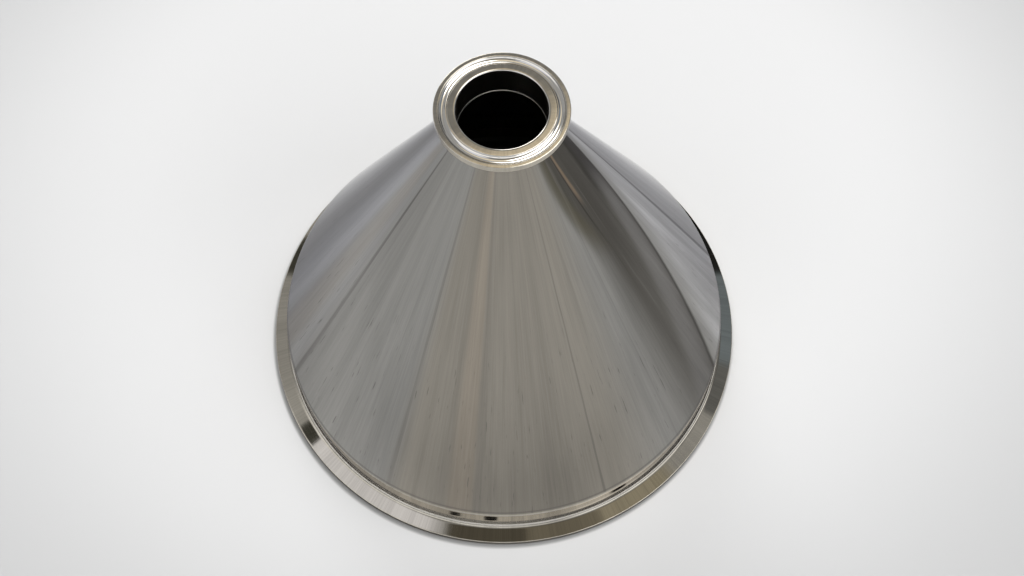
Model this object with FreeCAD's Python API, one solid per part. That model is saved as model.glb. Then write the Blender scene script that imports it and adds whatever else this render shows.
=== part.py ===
import FreeCAD, Part
import math
import os
from collections import namedtuple

# Concentric pipe reducer for sanitary tube, 8 inch to 1 1/2 inch.
# It is one hollow body of revolution about Z: a wide tube end, a straight cone and a
# narrow tube end in one even wall, with a clamp ferrule turned on each end.
# It stands on the face of its wide ferrule. The origin is the centre of that face and
# +Z runs up the axis to the narrow ferrule. All sizes are in millimetres.

# Tube sizes, measured outside, and the wall that both tubes and the cone share
LARGE_TUBE_OD = 203.2
SMALL_TUBE_OD = 38.1
WALL = 2.0

# Lengths along the axis: the wide tube end with its ferrule, the cone, the narrow end
LARGE_STRAIGHT = 19.05
CONE_LENGTH = 152.4
SMALL_STRAIGHT = 12.7

# How far each clamp flange stands out from its tube
LARGE_LIP = 7.35
SMALL_LIP = 6.2

# The clamp flange's section, which both ends share
RIM_THICKNESS = 2.85
FLANK_ANGLE = 20.0
ROOT_RADIUS = 2.7

# The round-bottomed gasket groove, and how far its middle lies inside each rim
GROOVE_WIDTH = 3.4
GROOVE_DEPTH = 1.13
LARGE_GROOVE_INSET = 4.65
SMALL_GROOVE_INSET = 3.45

# Where the cone meets the tubes: the knuckle outside at the wide end, which is crisp
# inside, and the neck at the narrow end, outside and inside
KNUCKLE_RADIUS = 6.35
NECK_OUTER_RADIUS = 3.0
NECK_INNER_RADIUS = 0.5

# Arcs are drawn in spans of at most this many degrees, which keeps their faces simple
ARC_SPAN = 45.0
SMALLEST_SPAN = 1e-6
SHARP = 0

# The section is a path of corners, each with the radius that rounds it, and of arcs
Corner = namedtuple("Corner", "point radius")
Arc = namedtuple("Arc", "centre start end")


def section_point(r, z):
    """The point of the section at radius r and height z."""
    return FreeCAD.Vector(r, 0, z)


def start_of(item):
    return item.start if isinstance(item, Arc) else item.point


def end_of(item):
    return item.end if isinstance(item, Arc) else item.point


def rounded(before, corner, after):
    """The arc that rounds a corner and is tangent to the straight runs beside it."""
    back = (before - corner.point).normalize()
    ahead = (after - corner.point).normalize()
    half_angle = back.getAngle(ahead) / 2
    tangent_length = corner.radius / math.tan(half_angle)
    centre = corner.point + (back + ahead).normalize() * (corner.radius / math.sin(half_angle))
    return Arc(centre, corner.point + back * tangent_length, corner.point + ahead * tangent_length)


def arc_edges(arc):
    """The edges of an arc, which goes the shorter way round from its start to its end."""
    to_start = arc.start - arc.centre
    to_end = arc.end - arc.centre
    axis = to_start.cross(to_end)
    whole_turn = math.degrees(to_start.getAngle(to_end))

    def point_at(angle):
        return arc.centre + FreeCAD.Rotation(axis, angle).multVec(to_start)

    edges = []
    angle = 0
    while whole_turn - angle > SMALLEST_SPAN:
        next_angle = min(angle + ARC_SPAN, whole_turn)
        span = Part.Arc(point_at(angle), point_at((angle + next_angle) / 2), point_at(next_angle))
        edges.append(span.toShape())
        angle = next_angle
    return edges


def closed_section(path):
    """The closed wire through corners and arcs, joined by straight runs."""
    items = []
    for index, item in enumerate(path):
        if isinstance(item, Corner) and item.radius != SHARP:
            item = rounded(end_of(path[index - 1]), item, start_of(path[(index + 1) % len(path)]))
        items.append(item)
    edges = []
    for before, item in zip(items[-1:] + items[:-1], items):
        edges.append(Part.LineSegment(end_of(before), start_of(item)).toShape())
        if isinstance(item, Arc):
            edges += arc_edges(item)
    return Part.Wire(edges)


def gasket_groove(middle_radius, face_z, into):
    """The groove's arc, from its outer edge in the face to its inner edge.

    into is +1 where the metal lies above the face, and -1 where it lies below.
    """
    half_width = GROOVE_WIDTH / 2
    groove_radius = (half_width ** 2 + GROOVE_DEPTH ** 2) / (2 * GROOVE_DEPTH)
    centre_z = face_z + into * (GROOVE_DEPTH - groove_radius)
    return Arc(section_point(middle_radius, centre_z),
               section_point(middle_radius + half_width, face_z),
               section_point(middle_radius - half_width, face_z))


def ferrule(tube_radius, lip, groove_inset, face_z, into):
    """The section of a clamp ferrule, from the root of its flank round to its bore."""
    rim_radius = tube_radius + lip
    root_depth = RIM_THICKNESS + lip * math.tan(math.radians(FLANK_ANGLE))
    return [
        Corner(section_point(tube_radius, face_z + into * root_depth), ROOT_RADIUS),
        Corner(section_point(rim_radius, face_z + into * RIM_THICKNESS), SHARP),
        Corner(section_point(rim_radius, face_z), SHARP),
        gasket_groove(rim_radius - groove_inset, face_z, into),
        Corner(section_point(tube_radius - WALL, face_z), SHARP),
    ]


def turned_back(path):
    """The same run of the section, followed the other way."""
    return [Arc(item.centre, item.end, item.start) if isinstance(item, Arc) else item
            for item in reversed(path)]


def reducer_section():
    """The whole section: the wide ferrule, up the bore, the narrow ferrule, down the outside."""
    large_radius = LARGE_TUBE_OD / 2
    small_radius = SMALL_TUBE_OD / 2
    cone_top = LARGE_STRAIGHT + CONE_LENGTH
    overall_height = cone_top + SMALL_STRAIGHT
    half_angle = math.atan((large_radius - small_radius) / CONE_LENGTH)

    # The inner cone is the outer cone moved in by one wall, so its corners sit lower
    corner_drop = WALL * math.tan(half_angle / 2)
    wide_end = ferrule(large_radius, LARGE_LIP, LARGE_GROOVE_INSET, 0, 1)
    narrow_end = ferrule(small_radius, SMALL_LIP, SMALL_GROOVE_INSET, overall_height, -1)
    inside = [
        Corner(section_point(large_radius - WALL, LARGE_STRAIGHT - corner_drop), SHARP),
        Corner(section_point(small_radius - WALL, cone_top - corner_drop), NECK_INNER_RADIUS),
    ]
    outside = [
        Corner(section_point(small_radius, cone_top), NECK_OUTER_RADIUS),
        Corner(section_point(large_radius, LARGE_STRAIGHT), KNUCKLE_RADIUS),
    ]
    return closed_section(wide_end + inside + turned_back(narrow_end) + outside)


def reducer_body():
    """The section turned a full circle about the axis."""
    full_turn = 360
    axis_point = FreeCAD.Vector(0, 0, 0)
    axis_direction = FreeCAD.Vector(0, 0, 1)
    return Part.Face(reducer_section()).revolve(axis_point, axis_direction, full_turn)


os.makedirs("parts", exist_ok=True)
reducer_body().exportStep("parts/reducer_body.step")
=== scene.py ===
import math
from collections import namedtuple

import bpy
from mathutils import Matrix, Vector


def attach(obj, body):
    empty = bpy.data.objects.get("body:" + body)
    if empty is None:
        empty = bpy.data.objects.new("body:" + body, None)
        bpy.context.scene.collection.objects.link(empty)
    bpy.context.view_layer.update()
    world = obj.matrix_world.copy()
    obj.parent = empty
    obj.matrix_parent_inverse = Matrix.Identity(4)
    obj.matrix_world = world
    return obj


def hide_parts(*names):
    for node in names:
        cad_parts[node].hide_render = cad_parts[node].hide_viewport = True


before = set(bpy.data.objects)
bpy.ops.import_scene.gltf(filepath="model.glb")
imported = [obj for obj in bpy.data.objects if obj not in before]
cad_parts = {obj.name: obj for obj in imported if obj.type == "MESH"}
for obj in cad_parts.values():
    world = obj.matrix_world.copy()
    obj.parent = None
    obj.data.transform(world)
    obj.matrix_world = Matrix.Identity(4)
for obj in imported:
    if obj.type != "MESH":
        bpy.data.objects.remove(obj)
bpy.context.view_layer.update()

bl_info = {
    "name": "Sanitary pipe reducer",
    "version": (1, 0, 0),
    "blender": (4, 5, 0),
    "location": "3D View > Sidebar > Reducer",
    "description": "A polished steel pipe reducer with a clamp ferrule on each end, on a pale table",
    "category": "Object",
}

MM = 0.001
MM_PER_METRE = 1000
UP = (0, 0, 1)

# Points closer than this are one point, an arc is drawn in turns of at most this much, and
# a straight run has a point this far from each bend, which keeps the shading of the run flat
JOIN = 0.001 * MM
ARC_TURN = math.radians(9)
BEND_MARGIN = 0.5 * MM

# The photo's camera: where it stands in metres, its lens in millimetres, its angles in degrees
CAMERA_PLACE = (0, -0.286863, 0.614038)
CAMERA_SENSOR = 36.0
CAMERA_LENS = 49.54
CAMERA_PITCH_DOWN = 63.531
CAMERA_YAW_RIGHT = 0.746
CAMERA_ROLL = 0.075
CAMERA_NEAREST = 0.01

# The table is a disc in metres that sweeps up into a backdrop, in steps of a few degrees
TABLE_RADIUS = 2.2
TABLE_SIDES = 96
SWEEP_STEPS = 9
SWEEP_TURN = 8
SWEEP_RISE = 0.14
SWEEP_GROWTH = 0.05

# It is painted palest round a spot this far behind the reducer, a painted pool of light. It fades
# between these distances from there, sooner towards the front and the back than towards the sides.
PALEST_BEHIND = 0.09
FADE_SQUEEZE = 1.15
FADE_START = 0.17
FADE_END = 0.36

# A painted contact shadow: the table is painted darker beside the rim, where little light reaches,
# on the lower left most of all
CONTACT_SHIFT_X = 0.6 * MM
CONTACT_SHIFT_Y = 0.8 * MM
CONTACT_START = 0.05 * MM
CONTACT_END = 1.75 * MM
CONTACT_DEPTH = 0.6

# The Mix node's colour sockets, which can't be told by name from its number sockets
MIX_FIRST_COLOUR = 6
MIX_SECOND_COLOUR = 7
MIX_RESULT_COLOUR = 2

# Fine dark lines up the cone, painted reflections: the bearing of each and half its width in
# degrees, and its depth
FineLine = namedtuple("FineLine", "bearing half_width depth")
FINE_LINES = (
    FineLine(-161.5, 1.1, 0.7),
    FineLine(-97.2, 1.8, 0.25),
    FineLine(-64, 0.5, 0.45),
    FineLine(-121, 0.9, 0.4),
    FineLine(-40.5, 0.5, 0.35),
)

# Round places of the room that the steel mirrors. Each has its azimuth and elevation, and how
# far its full tone and its soft edge reach from there, all in degrees.
RoomPlace = namedtuple("RoomPlace", "azimuth elevation full_reach edge_reach tone")
MIRRORED_PLACES = (
    # The narrow ferrule's face mirrors the first two
    RoomPlace(95, 55, 5, 8, (0.29, 0.29, 0.29)),
    RoomPlace(45, 74, 22.3, 25.5, (0.93, 0.83, 0.66)),
    # The wide flank's left side, then its front and its right side
    RoomPlace(203, 58, 13, 20, (0.93, 0.94, 1.02)),
    RoomPlace(-33, 60, 9, 14, (0.36, 0.33, 0.26)),
    RoomPlace(-70, 66, 11, 13, (0.22, 0.20, 0.16)),
    RoomPlace(-100, 67, 7, 9.5, (0.11, 0.10, 0.08)),
    RoomPlace(24, 42, 12.5, 14, (0.17, 0.175, 0.18)),
    RoomPlace(33, 35, 10, 13, (0.21, 0.25, 0.29)),
    RoomPlace(50, 27, 8, 10, (0.02, 0.02, 0.02)),
    RoomPlace(134, 29, 3, 5, (0.07, 0.07, 0.06)),
    RoomPlace(178, 49, 2, 2.8, (0.06, 0.06, 0.05)),
)
# The wide tube end mirrors these small dark things in front, just above its flange
DARK_TONE = (0.02, 0.02, 0.02)
DARK_THINGS = (
    RoomPlace(-96, 33, 2.0, 2.4, DARK_TONE),
    RoomPlace(-110, 34, 1.8, 2.2, DARK_TONE),
    RoomPlace(-44, 36, 2.8, 3.2, DARK_TONE),
    RoomPlace(-13, 39, 1.6, 2.0, DARK_TONE),
)


def length(name, description, millimetres):
    """A size in metres, shown with its unit."""
    return bpy.props.FloatProperty(
        name=name, description=description, default=millimetres * MM, min=0, precision=5,
        subtype="DISTANCE", unit="LENGTH")


def colour(name, description, rgb):
    return bpy.props.FloatVectorProperty(
        name=name, description=description, default=rgb, size=3, min=0, max=1, subtype="COLOR")


def share(name, description, default):
    return bpy.props.FloatProperty(
        name=name, description=description, default=default, min=0, max=1, subtype="FACTOR")


class ReducerSizes(bpy.types.PropertyGroup):
    """Sizes of the reducer, measured as a maker's drawing gives them."""

    large_tube: length("Wide tube", "Outside diameter of the wide tube end", 203.2)
    small_tube: length("Narrow tube", "Outside diameter of the narrow tube end", 38.1)
    wall: length("Wall", "Thickness of the tubes and the cone", 2.0)
    large_straight: length("Wide straight", "Length of the wide tube end", 19.05)
    cone_length: length("Cone", "Length of the cone along the axis", 152.4)
    small_straight: length("Narrow straight", "Length of the narrow tube end", 12.7)
    large_lip: length("Wide lip", "How far the wide flange stands out from its tube", 7.35)
    small_lip: length("Narrow lip", "How far the narrow flange stands out from its tube", 6.2)
    rim: length("Rim", "Thickness of a clamp flange at its rim", 2.85)
    flank_angle: bpy.props.FloatProperty(
        name="Flank", description="Slope of the flank that the clamp pulls on",
        default=math.radians(20), subtype="ANGLE", unit="ROTATION")
    root_round: length("Flank root", "Radius where a flank meets its tube", 2.7)
    groove_width: length("Groove width", "Width of the gasket groove in the face", 3.4)
    groove_depth: length("Groove depth", "Depth of the gasket groove", 1.13)
    large_groove_inset: length("Wide groove", "Groove's middle, in from the wide rim", 4.65)
    small_groove_inset: length("Narrow groove", "Groove's middle, in from the narrow rim", 3.45)
    knuckle: length("Knuckle", "Outer radius where the cone meets the wide tube", 6.35)
    neck_outside: length("Neck outside", "Radius where the cone meets the narrow tube", 3.0)
    edge_round: length("Edge round", "Radius on the edges of the rims", 0.4)
    mouth_round: length("Mouth round", "Radius on the mouths of the bores", 0.6)
    bead_height: length("Bead", "How far the weld bead stands into the narrow bore", 0.25)
    bead_reach: length("Bead reach", "How far the bead reaches from the neck's corner", 0.45)
    groove_edge_round: length("Groove edges", "Radius on the edges of the grooves", 0.25)
    quarter_steps: bpy.props.IntProperty(
        name="Steps round", description="Steps in a quarter turn about the axis",
        default=112, min=6, max=160)


class SteelFinish(bpy.types.PropertyGroup):
    """Colours and gloss of the polished steel, with painted reflections, painted highlights and
    painted shade among the colours.
    """

    # Painted reflections of the room on the cone, in its tones by bearing and in the bands and lines
    # that follow
    front_colour: colour("Front", "Warm steel at the front of the cone", (0.36, 0.335, 0.29))
    side_colour: colour("Sides", "Cooler steel at the sides and the back", (0.37, 0.363, 0.342))
    left_colour: colour("Left side", "Paler steel on the left", (0.46, 0.46, 0.465))
    painted_beige_band: colour("Beige band", "The brownish band up the front", (0.42, 0.37, 0.305))
    painted_dark_band: colour("Dark band", "The broad dark band on the right", (0.115, 0.108, 0.095))
    painted_pale_band: colour("Pale band", "The pale band beside it", (0.64, 0.635, 0.63))
    # Painted reflections as fine dark lines; the same colour darkens the scuffs and the weld line
    scuff_and_painted_line: colour("Fine lines", "The fine dark lines up the cone", (0.16, 0.15, 0.14))
    deep_painted_line: colour("Deep lines", "The darkest lines in the dark band", (0.06, 0.056, 0.048))
    olive_painted_reflection: colour("Olive edge", "The dark band's left edge at the neck", (0.12, 0.105, 0.06))
    # A painted reflection of an orange thing in the room, as a streak near the neck
    orange_painted_reflection: colour("Rusty streak", "The streak near the neck", (0.46, 0.33, 0.22))
    ferrule_colour: colour("Ferrules", "The turned ferrules", (0.53, 0.495, 0.425))
    # Painted light: the wide tube end is painted paler than the ferrules, so it reads bright
    tube_end_painted_light: colour("Tube end", "The wide tube end, above its flange", (0.66, 0.63, 0.575))
    # Painted highlight: the steel beside the flange's root is painted near white
    root_painted_highlight: colour("Flange root", "Beside the flange's root, which is polished brighter",
                        (0.92, 0.90, 0.85))
    # Painted highlight: the narrow end's groove is painted pale, so its highlights read wide and
    # white
    groove_painted_highlight: colour("Groove", "The narrow end's groove, turned bright", (0.80, 0.79, 0.77))
    # The weld bead is real, and painted pale as a painted highlight so it shows as a bright ring
    bead_painted_highlight: colour("Weld bead", "The bead of weld in the narrow bore", (0.9, 0.88, 0.84))
    edge_tint: colour("Grazing", "How much the steel brightens where it turns away",
                      (0.45, 0.45, 0.47))
    polish_roughness: share("Polish", "Roughness of the polished surface", 0.07)
    turned_roughness: share("Turning", "Roughness of the turned faces", 0.05)
    grain: share("Grain", "How much the fine grain varies the roughness", 0.03)
    bore_dulling: share("Bore", "Roughness that the narrow bore has on top", 0.15)


class StudioLook(bpy.types.PropertyGroup):
    """The table and the room's soft lights."""

    table_colour: colour("Table", "Pale table round the reducer", (0.785, 0.79, 0.797))
    # The table fades from the first colour to this one, a painted pool of light
    far_colour: colour("Backdrop", "The same table farther off", (0.555, 0.56, 0.565))
    # The painted contact shadow's colour, on the table just beside the rim
    contact_shadow_colour: colour("Contact", "The table just beside the rim", (0.08, 0.08, 0.08))
    room_light: bpy.props.FloatProperty(
        name="Room", description="Level of the room's even light", default=0.40, min=0)
    front_light: bpy.props.FloatProperty(
        name="Front light", description="Level of the soft light in front", default=1.25, min=0)
    back_light: bpy.props.FloatProperty(
        name="Back light", description="Level of the soft light behind", default=6.0, min=0)
    right_light: bpy.props.FloatProperty(
        name="Right light", description="Level of the light low on the right", default=2.6, min=0)
    top_light: bpy.props.FloatProperty(
        name="Top light", description="Level of the soft light overhead", default=4.2, min=0)


class Value:
    """An output socket of a shader node that takes part in sums as a number does."""

    def __init__(self, shader, socket):
        self.shader = shader
        self.socket = socket

    def maths(self, operation, *terms):
        return self.shader.add("ShaderNodeMath", {"operation": operation},
                               dict(enumerate(terms)))

    def __add__(self, other):
        return self.maths("ADD", self, other)

    def __sub__(self, other):
        return self.maths("SUBTRACT", self, other)

    def __rsub__(self, other):
        return self.maths("SUBTRACT", other, self)

    def __mul__(self, other):
        return self.maths("MULTIPLY", self, other)

    def __truediv__(self, other):
        return self.maths("DIVIDE", self, other)

    __radd__ = __add__
    __rmul__ = __mul__

    def root(self):
        return self.maths("SQRT", self)

    def bearing(self, across):
        """The angle in degrees of the direction (across, self), from -180 to 180."""
        return self.maths("ARCTAN2", self, across) * (180 / math.pi)

    def size(self):
        return self.maths("ABSOLUTE", self)

    def within(self, low, high, soft):
        """1 between low and high and 0 outside, with soft edges."""
        return self.step(low - soft, low + soft) * (1 - self.step(high - soft, high + soft))

    def at_least(self, other):
        return self.maths("MAXIMUM", self, other)

    def step(self, start, end):
        """0 below start and 1 above end, smooth between."""
        return self.shader.add(
            "ShaderNodeMapRange", {"interpolation_type": "SMOOTHSTEP", "clamp": True},
            {"Value": self, "From Min": start, "From Max": end})


class Shader:
    """The node tree of a material or of the world."""

    def __init__(self, owner):
        owner.use_nodes = True
        self.tree = owner.node_tree
        self.tree.nodes.clear()

    def add(self, kind, settings=None, inputs=None, output=0):
        """Adds a node, with its settings first and then its values and links."""
        node = self.tree.nodes.new(kind)
        for name, setting in (settings or {}).items():
            setattr(node, name, setting)
        for name, given in (inputs or {}).items():
            if isinstance(given, Value):
                self.tree.links.new(given.socket, node.inputs[name])
            else:
                node.inputs[name].default_value = given
        return Value(self, node.outputs[output]) if len(node.outputs) else None

    def parts(self, vector):
        node = self.add("ShaderNodeSeparateXYZ", inputs={"Vector": vector}).socket.node
        return [Value(self, socket) for socket in node.outputs]

    def vector(self, x, y, z):
        return self.add("ShaderNodeCombineXYZ", inputs={"X": x, "Y": y, "Z": z})

    def dot(self, vector, direction):
        return self.add("ShaderNodeVectorMath", {"operation": "DOT_PRODUCT"},
                        {0: vector, 1: direction}, output="Value")

    def noise(self, vector, detail, roughness):
        return self.add("ShaderNodeTexNoise", {"noise_dimensions": "3D"},
                        {"Vector": vector, "Scale": 1.0, "Detail": detail,
                         "Roughness": roughness})

    def blend(self, factor, first, second, way="MIX"):
        """Mixes two colours, which are numbers for red, green and blue or another node's."""
        mix = self.add("ShaderNodeMix", {"data_type": "RGBA", "blend_type": way},
                       {0: factor}).socket.node
        for index, given in ((MIX_FIRST_COLOUR, first), (MIX_SECOND_COLOUR, second)):
            if isinstance(given, Value):
                self.tree.links.new(given.socket, mix.inputs[index])
            else:
                mix.inputs[index].default_value = (*given, 1)
        return Value(self, mix.outputs[MIX_RESULT_COLOUR])

    def times(self, tone, level):
        """The tone, darker where the level is below 1 and paler where it is above."""
        return self.blend(1.0, tone, self.vector(level, level, level), "MULTIPLY")


def deselect_all():
    if bpy.context.mode != "OBJECT":
        bpy.ops.object.mode_set(mode="OBJECT")
    bpy.ops.object.select_all(action="DESELECT")


def section_point(radius, height):
    return Vector((radius, 0, height))


def arc_points(centre, start, end):
    """Points along the shorter arc from start to end, both included."""
    spoke = start - centre
    axis = spoke.cross(end - centre)
    turn = spoke.angle(end - centre)
    steps = max(2, math.ceil(turn / ARC_TURN))
    return [centre + Matrix.Rotation(turn * step / steps, 3, axis) @ spoke
            for step in range(steps + 1)]


def rounded(before, corner, after, radius):
    """The points of the arc that rounds a corner."""
    back = (before - corner).normalized()
    ahead = (after - corner).normalized()
    half_angle = back.angle(ahead) / 2
    reach = radius / math.tan(half_angle)
    centre = corner + (back + ahead).normalized() * (radius / math.sin(half_angle))
    return arc_points(centre, corner + back * reach, corner + ahead * reach)


def gasket_groove(sizes, middle, face, into):
    """The groove with its rounded edges, from its outer edge to its inner edge."""
    half_width = sizes.groove_width / 2
    depth = sizes.groove_depth
    edge = sizes.groove_edge_round
    radius = (half_width ** 2 + depth ** 2) / (2 * depth)
    centre = section_point(middle, face + into * (depth - radius))
    drop = edge + radius - depth
    aside = math.sqrt((radius + edge) ** 2 - drop ** 2)
    points = []
    for side in (1, -1):
        edge_centre = section_point(middle + side * aside, face + into * edge)
        on_face = section_point(middle + side * aside, face)
        on_groove = centre + (edge_centre - centre) * (radius / (radius + edge))
        edge_points = arc_points(edge_centre, on_face, on_groove)
        points.append(edge_points if side == 1 else edge_points[::-1])
    outer, inner = points
    bottom = section_point(middle, face + into * depth)
    outer_half = arc_points(centre, outer[-1], bottom)
    inner_half = arc_points(centre, bottom, inner[0])
    return outer + outer_half[1:-1] + inner_half[:-1] + inner


def ferrule(sizes, tube_radius, lip, groove_inset, face, into):
    """A ferrule's section, from the root of its flank round to its bore.

    It is a list of rounded corners, as (point, radius), and of runs of points.
    """
    rim_radius = tube_radius + lip
    root_depth = sizes.rim + lip * math.tan(sizes.flank_angle)
    return [
        (section_point(tube_radius, face + into * root_depth), sizes.root_round),
        (section_point(rim_radius, face + into * sizes.rim), sizes.edge_round),
        (section_point(rim_radius, face), sizes.edge_round),
        gasket_groove(sizes, rim_radius - groove_inset, face, into),
        (section_point(tube_radius - sizes.wall, face), sizes.mouth_round),
    ]


def weld_bead(sizes, corner, cone_direction):
    """The low ring of weld inside the neck, from the cone round to the bore's wall."""
    start = corner + cone_direction * sizes.bead_reach
    end = corner + section_point(0, sizes.bead_reach)
    chord = end - start
    half_chord = chord.length / 2
    into_metal = section_point(chord.z, -chord.x).normalized()
    radius = (half_chord ** 2 + sizes.bead_height ** 2) / (2 * sizes.bead_height)
    centre = (start + end) / 2 + into_metal * (radius - sizes.bead_height)
    return arc_points(centre, start, end)


def turned_back(path):
    return [item[::-1] if isinstance(item, list) else item for item in reversed(path)]


def run_ends(item):
    """The first and last point of a rounded corner or a run of points."""
    return (item[0], item[-1]) if isinstance(item, list) else (item[0], item[0])


def reducer_section(sizes):
    """The points of the whole closed section, with a few more beside each bend."""
    large = sizes.large_tube / 2
    small = sizes.small_tube / 2
    cone_top = sizes.large_straight + sizes.cone_length
    height = cone_top + sizes.small_straight
    corner_drop = sizes.wall * math.tan(math.atan((large - small) / sizes.cone_length) / 2)
    wide_end = ferrule(sizes, large, sizes.large_lip, sizes.large_groove_inset, 0, 1)
    narrow_end = ferrule(sizes, small, sizes.small_lip, sizes.small_groove_inset, height, -1)
    path = wide_end + [
        (section_point(large - sizes.wall, sizes.large_straight - corner_drop),
         sizes.knuckle - sizes.wall),
        weld_bead(sizes, section_point(small - sizes.wall, cone_top - corner_drop),
                  section_point(large - small, -sizes.cone_length).normalized()),
    ] + turned_back(narrow_end) + [
        (section_point(small, cone_top), sizes.neck_outside),
        (section_point(large, sizes.large_straight), sizes.knuckle),
    ]
    runs = []
    for index, item in enumerate(path):
        if isinstance(item, tuple):
            before = run_ends(path[index - 1])[1]
            after = run_ends(path[(index + 1) % len(path)])[0]
            item = rounded(before, item[0], after, item[1])
        runs.append(item)
    points = []
    for before, run in zip(runs[-1:] + runs[:-1], runs):
        straight = run[0] - before[-1]
        margin = min(BEND_MARGIN, straight.length / 4)
        points.append(before[-1] + straight.normalized() * margin)
        points.append(run[0] - straight.normalized() * margin)
        points += run
    return points


class SurfacePoint:
    """A point of the reducer as its material sees it, in millimetres and degrees.

    Its bearing round the axis is 0 on the right, -90 in front and 180 on the left.
    """

    def __init__(self, shader):
        self.shader = shader
        place = shader.add("ShaderNodeTexCoord", output="Object")
        x, y, self.height = (part * MM_PER_METRE for part in shader.parts(place))
        self.radius = (x * x + y * y).root().at_least(1)
        self.around = (x / self.radius, y / self.radius)
        self.bearing = y.bearing(x)
        # Streaks that run up the cone, from broad to hair-fine
        self.broad = self.noise(3, self.height * 0.0015, 1.0)
        self.narrow = self.noise(16, self.height * 0.009, 4.0, 0.6)
        self.hair = self.noise(110, self.height * 0.03, 4.0, 0.7)
        # Degrees past the painted dark reflection band's left edge, past its right edge and past the
        # painted crisp line
        self.past_left_edge = self.bearing - (self.height.step(110, 168) * -13 - 31)
        self.past_right_edge = self.bearing - (self.height * 0.18 - 21.4)
        self.past_crisp_line = self.bearing - self.height * 0.027 - 14.3

    def noise(self, scale_round, along, detail, roughness=0.5):
        """A noise that has no seam round the axis."""
        around_x, around_y = (part * scale_round for part in self.around)
        place = self.shader.vector(around_x, around_y, along)
        return self.shader.noise(place, detail, roughness)


def broad_bands(point, finish):
    """The cone's colours, painted reflections of the room: warm at the front, cool at the sides,
    with a band of beige.
    """
    blend, bearing = point.shader.blend, point.bearing
    steel = blend(bearing.size().step(158, 176), finish.side_colour, finish.left_colour)
    front = bearing.step(-124, -116) * (1 - bearing.step(-62, -40))
    steel = blend(front, steel, finish.front_colour)
    beige = bearing.step(-106.5, -103.5) * (1 - bearing.step(-99.5, -98))
    steel = blend(beige * 0.75, steel, finish.painted_beige_band)
    # Painted reflection: a warm strip on the left side
    warm_side = bearing.within(-178, -168, 3)
    return blend(warm_side * 0.6, steel, finish.front_colour)


def right_bands(point, finish, steel):
    """The painted dark reflection band on the right, which narrows on its way down, and the painted
    pale one beyond.
    """
    blend, past = point.shader.blend, point.past_right_edge
    aside = point.bearing.step(-43, -35) * (1 - past.step(-1.5, 1))
    steel = blend(aside * 0.3, steel, finish.painted_dark_band)
    pale = past.step(0.5, 10) * (1 - point.bearing.step(40, 110))
    pale = pale * (point.narrow.step(0.4, 0.65) * 0.4 + 0.8)
    pale = pale * (1 - point.past_crisp_line.step(-0.5, 1) * 0.45)
    steel = blend(pale * 0.85, steel, finish.painted_pale_band)
    dark = point.past_left_edge.step(-8, 6) * (1 - past.step(-0.8, 0.8))
    dark = dark * (1 - past.step(-26, -6) * 0.12) * (point.narrow.step(0.55, 0.75) * -0.3 + 1)
    dark = dark * (point.height.step(30, 140) * 0.14 + 0.86)
    steel = blend(dark, steel, finish.painted_dark_band)
    # A painted paler strip lies inside the dark band, and a painted deep line along its right edge,
    # both painted reflections
    steel = blend(past.within(-11, -2.5, 3) * 0.13, steel, finish.painted_pale_band)
    return blend(past.within(-1.4, -0.4, 0.5) * 0.5, steel, finish.deep_painted_line)


def neck_marks(point, finish, steel):
    """At the neck the painted dark reflection band is olive on its left, deep on its right, and
    streaked with painted reflections.
    """
    blend, height = point.shader.blend, point.height
    near_neck = height.step(112, 140)
    olive = point.past_left_edge.within(-4, 4, 3) * near_neck
    steel = blend(olive * 0.5, steel, finish.olive_painted_reflection)
    deep = point.past_right_edge.within(-15, -0.5, 2.5) * height.step(122, 152)
    steel = blend(deep * 0.8, steel, finish.deep_painted_line)
    slant = point.bearing + height * 0.11
    steel = blend(slant.within(-14.2, -13.2, 0.4) * near_neck * 0.7, steel, finish.deep_painted_line)
    # A painted orange reflection near the neck
    orange_reflection = slant.within(-12.8, -10.4, 0.9) * height.step(140, 151)
    return blend(orange_reflection * 0.45, steel, finish.orange_painted_reflection)


def dark_lines(point, finish, steel):
    """The fine lines up the cone, painted reflections, which wander and fade a little, and the crisp
    one.
    """
    blend = point.shader.blend
    wander = (point.broad - 0.5) * 2 + (point.narrow - 0.5) * 1.6
    strength = point.narrow.step(0.35, 0.65) * 0.6 + 0.5
    for line in FINE_LINES:
        offset = (point.bearing - line.bearing + wander).size()
        width = 1 - offset.step(line.half_width * 0.3, line.half_width)
        steel = blend(width * line.depth * strength, steel, finish.scuff_and_painted_line)
    crisp = point.past_crisp_line.within(-0.9, 0.7, 0.3)
    return blend(crisp * 0.9, steel, finish.scuff_and_painted_line)


def polished_cone(point, finish, shade):
    """The colour of the cone, with all its painted reflection bands and lines, streaks and scuffs,
    and painted shade towards its foot.
    """
    shader, height = point.shader, point.height
    steel = broad_bands(point, finish)
    for marks in (right_bands, neck_marks, dark_lines):
        steel = marks(point, finish, steel)
    steel = shader.times(steel, shade)
    scuffs = point.noise(95, height * 0.09, 2.0).step(0.66, 0.74) * (1 - height.step(70, 125))
    steel = shader.blend(scuffs * 0.6, steel, finish.scuff_and_painted_line)
    # Painted shade: the cone is darker towards its foot
    return shader.times(steel, height.step(20, 95) * 0.15 + 0.85)


Zones = namedtuple("Zones", "turned tube_end flange_root fillet weld groove bore bead")


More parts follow.
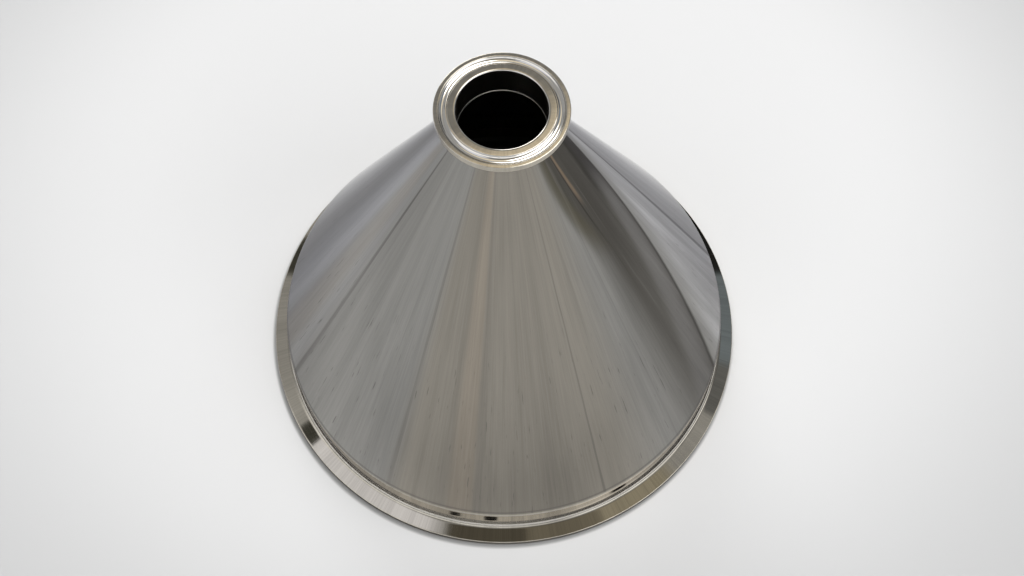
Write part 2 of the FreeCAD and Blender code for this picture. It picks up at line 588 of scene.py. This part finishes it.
def reducer_zones(point, sizes):
    """The masks of the reducer's places, each 1 in its place and 0 elsewhere."""
    height, radius = point.height, point.radius
    wide_tube = sizes.large_tube / 2 * MM_PER_METRE
    flank_rise = sizes.large_lip * math.tan(sizes.flank_angle)
    flank_top = (sizes.rim + flank_rise) * MM_PER_METRE
    cone_foot = sizes.large_straight * MM_PER_METRE
    cone_top = cone_foot + sizes.cone_length * MM_PER_METRE
    face = cone_top + sizes.small_straight * MM_PER_METRE
    narrow_rim = (sizes.small_tube / 2 + sizes.small_lip) * MM_PER_METRE
    narrow_bore = (sizes.small_tube / 2 - sizes.wall) * MM_PER_METRE

    bore = height.step(cone_top - 6.5, cone_top - 3.5)
    bore = bore * (1 - radius.step(narrow_bore + 0.15, narrow_bore + 0.45))
    fillet = height.within(flank_top - 0.6, flank_top + 1.1, 0.15)
    fillet = fillet * radius.step(wide_tube + 0.5, wide_tube + 0.8)
    groove = height.within(face - 1.45, face - 0.05, 0.04)
    return Zones(
        turned=(height.step(cone_top + 0.85, cone_top + 1.45)
                + (1 - height.step(cone_foot - 0.15, cone_foot + 0.45))),
        tube_end=height.within(flank_top - 0.1, cone_foot - 1, 0.5),
        flange_root=height.within(flank_top + 0.7, flank_top + 4.5, 0.5),
        fillet=fillet * (1 - point.bearing.step(-5, 20)),
        weld=height.within(cone_foot + 0.85, cone_foot + 1.65, 0.3),
        groove=groove * (1 - radius.step(narrow_rim - 1.45, narrow_rim - 1.25)),
        bore=bore,
        bead=bore * height.within(cone_top - 1.25, cone_top + 0.15, 0.1),
    )


def polished_steel(sizes, finish):
    """Bare steel, polished by hand: painted reflections as bands up the cone, fine lines round the
    axis.
    """
    material = bpy.data.materials.new("polished_steel_finish")
    shader = Shader(material)
    blend = shader.blend
    point = SurfacePoint(shader)
    zones = reducer_zones(point, sizes)

    # Everything is streaked, and the ferrules and the wide tube end are turned, up to the welds
    streak = point.broad * 0.3 + point.narrow * 0.35 + point.hair * 0.35
    shade = streak.step(0.32, 0.68) * 0.32 + 0.84
    metal = blend(zones.turned, polished_cone(point, finish, shade),
                  shader.times(finish.ferrule_colour, shade))
    # Painted light: the wide tube end is paler
    metal = blend(zones.tube_end * 0.9, metal, shader.times(finish.tube_end_painted_light, shade))
    # Painted highlight beside the flange's root
    metal = blend(zones.flange_root, metal, finish.root_painted_highlight)
    # Painted shade in the fillet above the wide flank, darkest at the front right
    front_right = point.bearing.step(-100, -70)
    metal = blend(zones.fillet * (front_right * 0.35 + 0.3), metal, finish.painted_dark_band)
    # A dark line at the weld: the weld's joint, and a painted reflection of the shaded table beside
    # the rim
    metal = blend(zones.weld * 0.6, metal, finish.scuff_and_painted_line)
    # Painted highlight in the narrow groove
    metal = blend(zones.groove * 0.65, metal, finish.groove_painted_highlight)
    # The weld bead, painted pale as a painted highlight
    metal = blend(zones.bead, metal, finish.bead_painted_highlight)

    # Fine polishing lines run round the axis, and the bore and its bead are left duller
    lines = point.noise(3, (point.height - point.radius) * 1.4, 3.0, 0.7)
    roughness = (point.hair + lines - 1) * finish.grain + finish.polish_roughness
    roughness = roughness + zones.turned * (finish.turned_roughness - finish.polish_roughness)
    roughness = roughness + (zones.bore + zones.bead) * finish.bore_dulling
    bump = shader.add("ShaderNodeBump", None,
                      {"Strength": 0.05, "Distance": 0.1 * MM,
                       "Height": lines * 0.7 + point.hair * 0.3})
    surface = shader.add("ShaderNodeBsdfPrincipled", None,
                         {"Base Color": metal, "Metallic": 1.0, "Roughness": roughness,
                          "Specular Tint": (*finish.edge_tint, 1), "Normal": bump})
    shader.add("ShaderNodeOutputMaterial", None, {"Surface": surface})
    return material


def pale_table(sizes, look):
    """A matt table, painted palest round the reducer and a little behind it, as a painted pool of
    light.
    """
    material = bpy.data.materials.new("pale_table")
    shader = Shader(material)
    x, y = shader.parts(shader.add("ShaderNodeTexCoord", output="Object"))[:2]
    back = (y - PALEST_BEHIND) * FADE_SQUEEZE
    away = (x * x + back * back).root()
    tone = shader.blend(away.step(FADE_START, FADE_END), look.table_colour, look.far_colour)
    # Painted contact shadow: the table is painted darker just beside the rim
    rim = sizes.large_tube / 2 + sizes.large_lip
    aside, along = x + CONTACT_SHIFT_X, y + CONTACT_SHIFT_Y
    from_rim = (aside * aside + along * along).root() - rim
    beside = 1 - from_rim.step(CONTACT_START, CONTACT_END)
    tone = shader.blend(beside * CONTACT_DEPTH, tone, look.contact_shadow_colour)
    surface = shader.add("ShaderNodeBsdfPrincipled", None,
                         {"Base Color": tone, "Roughness": 0.9, "Specular IOR Level": 0.0})
    shader.add("ShaderNodeOutputMaterial", None, {"Surface": surface})
    return material


class REDUCER_OT_body(bpy.types.Operator):
    """Turns the reducer's section about its axis and polishes it"""

    bl_idname = "reducer.turn_body"
    bl_label = "Turn the reducer"

    def execute(self, context):
        sizes = context.scene.reducer_sizes
        section = reducer_section(sizes)
        deselect_all()
        bpy.ops.mesh.primitive_circle_add(vertices=3, radius=sizes.wall, location=section[0])
        body = context.object
        body.name = "reducer_shell"
        body.data.name = "reducer_shell"
        bpy.ops.object.transform_apply(location=True, rotation=True, scale=True)
        # The circle closes to one vertex, and the section is drawn from it point by point
        bpy.ops.object.mode_set(mode="EDIT")
        bpy.ops.mesh.select_mode(type="VERT")
        bpy.ops.mesh.select_all(action="SELECT")
        bpy.ops.mesh.merge(type="CENTER")
        for here, there in zip(section, section[1:] + section[:1]):
            bpy.ops.mesh.extrude_vertices_move(TRANSFORM_OT_translate={"value": there - here})
        bpy.ops.mesh.select_all(action="SELECT")
        bpy.ops.mesh.remove_doubles(threshold=JOIN)
        bpy.ops.mesh.select_all(action="SELECT")
        # A quarter is turned, and mirrored to the other three
        bpy.ops.mesh.spin(steps=sizes.quarter_steps, angle=math.pi / 2, center=(0, 0, 0), axis=UP)
        bpy.ops.object.mode_set(mode="OBJECT")
        bpy.ops.object.modifier_add(type="MIRROR")
        mirror = body.modifiers[-1]
        mirror.use_axis = (True, True, False)
        mirror.merge_threshold = JOIN
        bpy.ops.object.modifier_apply(modifier=mirror.name)
        bpy.ops.object.mode_set(mode="EDIT")
        bpy.ops.mesh.select_all(action="SELECT")
        bpy.ops.mesh.remove_doubles(threshold=JOIN)
        bpy.ops.mesh.normals_make_consistent(inside=False)
        bpy.ops.object.mode_set(mode="OBJECT")
        bpy.ops.object.shade_smooth()
        body.data.materials.append(polished_steel(sizes, context.scene.reducer_finish))
        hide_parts("reducer_body")
        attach(body, "root")
        return {"FINISHED"}


def on_sky(azimuth, elevation):
    """The direction to a place in the room, with azimuth from +X towards +Y, in degrees."""
    across, upward = math.radians(azimuth), math.radians(elevation)
    level = math.cos(upward)
    return Vector((level * math.cos(across), level * math.sin(across), math.sin(upward)))


def grey(level):
    return (level, level, level)


def studio_world(look):
    """A pale room with broad soft lights, and with paler and darker places overhead."""
    world = bpy.data.worlds.new("studio_room")
    bpy.context.scene.world = world
    shader = Shader(world)
    outward = shader.add("ShaderNodeTexCoord", output="Generated")
    ray = shader.add("ShaderNodeVectorMath", {"operation": "NORMALIZE"}, {0: outward})
    x, y, z = shader.parts(ray)
    bearing = y.bearing(x)
    elevation = z.maths("ARCSINE", z) * (180 / math.pi)

    def with_place(light, place):
        """The room's light with one round place added."""
        full = math.cos(math.radians(place.full_reach))
        edge = math.cos(math.radians(place.edge_reach))
        towards = shader.dot(ray, on_sky(place.azimuth, place.elevation))
        return shader.blend(towards.step(edge, full), light, place.tone)

    light = grey(look.room_light)
    for place in MIRRORED_PLACES:
        light = with_place(light, place)
    # The broad soft lights, between bearings and elevations in degrees
    front = (1 - y.step(-0.1, 0.25)) * (1 - bearing.within(-12, 60, 6))
    light = shader.blend(front * elevation.within(20, 45, 4), light, grey(look.front_light))
    right = bearing.within(-66, 4, 6) * elevation.within(12, 32, 4)
    light = shader.blend(right, light, grey(look.right_light))
    light = with_place(light, RoomPlace(22, 68, 16, 20, grey(look.top_light)))
    back = bearing.within(88, 120, 3) * elevation.within(4, 36, 3)
    light = shader.blend(back, light, grey(look.back_light))
    for place in DARK_THINGS:
        light = with_place(light, place)
    surface = shader.add("ShaderNodeBackground", None, {"Color": light, "Strength": 1.0})
    shader.add("ShaderNodeOutputWorld", None, {"Surface": surface})


class REDUCER_OT_stage(bpy.types.Operator):
    """Sets the pale table, the room's light and the camera"""

    bl_idname = "reducer.set_stage"
    bl_label = "Set the stage"

    def execute(self, context):
        look = context.scene.reducer_look
        deselect_all()
        bpy.ops.mesh.primitive_circle_add(vertices=TABLE_SIDES, radius=TABLE_RADIUS,
                                          fill_type="NGON")
        table = context.object
        table.name = "table"
        bpy.ops.object.mode_set(mode="EDIT")
        bpy.ops.mesh.select_mode(type="EDGE")
        bpy.ops.mesh.select_all(action="SELECT")
        bpy.ops.mesh.region_to_loop()
        # The table sweeps up into a backdrop all round
        for step in range(1, SWEEP_STEPS + 1):
            angle = math.radians(SWEEP_TURN * step)
            bpy.ops.mesh.extrude_edges_move(
                TRANSFORM_OT_translate={"value": (0, 0, SWEEP_RISE * math.sin(angle))})
            grow = 1 + SWEEP_GROWTH * math.cos(angle)
            bpy.ops.transform.resize(value=(grow, grow, 1))
        bpy.ops.object.mode_set(mode="OBJECT")
        bpy.ops.object.shade_smooth()
        table.data.materials.append(pale_table(context.scene.reducer_sizes, look))
        studio_world(look)
        self.add_camera(context)
        context.scene.view_settings.view_transform = "Standard"
        return {"FINISHED"}

    @staticmethod
    def add_camera(context):
        deselect_all()
        bpy.ops.object.camera_add()
        camera = context.object
        camera.name = "photo_view"
        camera.data.sensor_width = CAMERA_SENSOR
        camera.data.lens = CAMERA_LENS
        camera.data.clip_start = CAMERA_NEAREST
        camera.matrix_world = (
            Matrix.Translation(CAMERA_PLACE)
            @ Matrix.Rotation(-math.radians(CAMERA_YAW_RIGHT), 4, "Z")
            @ Matrix.Rotation(math.radians(90 - CAMERA_PITCH_DOWN), 4, "X")
            @ Matrix.Rotation(math.radians(CAMERA_ROLL), 4, "Z"))
        context.scene.camera = camera


class VIEW3D_PT_reducer(bpy.types.Panel):
    """The reducer's sizes, finish and stage"""

    bl_label = "Pipe reducer"
    bl_idname = "VIEW3D_PT_reducer"
    bl_space_type = "VIEW_3D"
    bl_region_type = "UI"
    bl_category = "Reducer"

    def draw(self, context):
        for operator, group in (
                ("reducer.turn_body", context.scene.reducer_sizes),
                ("reducer.turn_body", context.scene.reducer_finish),
                ("reducer.set_stage", context.scene.reducer_look)):
            box = self.layout.box()
            for name in group.__annotations__:
                box.prop(group, name)
            box.operator(operator)


CLASSES = (ReducerSizes, SteelFinish, StudioLook, REDUCER_OT_body, REDUCER_OT_stage,
           VIEW3D_PT_reducer)


def register():
    for each in CLASSES:
        bpy.utils.register_class(each)
    bpy.types.Scene.reducer_sizes = bpy.props.PointerProperty(type=ReducerSizes)
    bpy.types.Scene.reducer_finish = bpy.props.PointerProperty(type=SteelFinish)
    bpy.types.Scene.reducer_look = bpy.props.PointerProperty(type=StudioLook)


def unregister():
    del bpy.types.Scene.reducer_look
    del bpy.types.Scene.reducer_finish
    del bpy.types.Scene.reducer_sizes
    for each in reversed(CLASSES):
        bpy.utils.unregister_class(each)


def main():
    register()
    bpy.ops.reducer.turn_body()
    bpy.ops.reducer.set_stage()


if __name__ == "__main__":
    main()
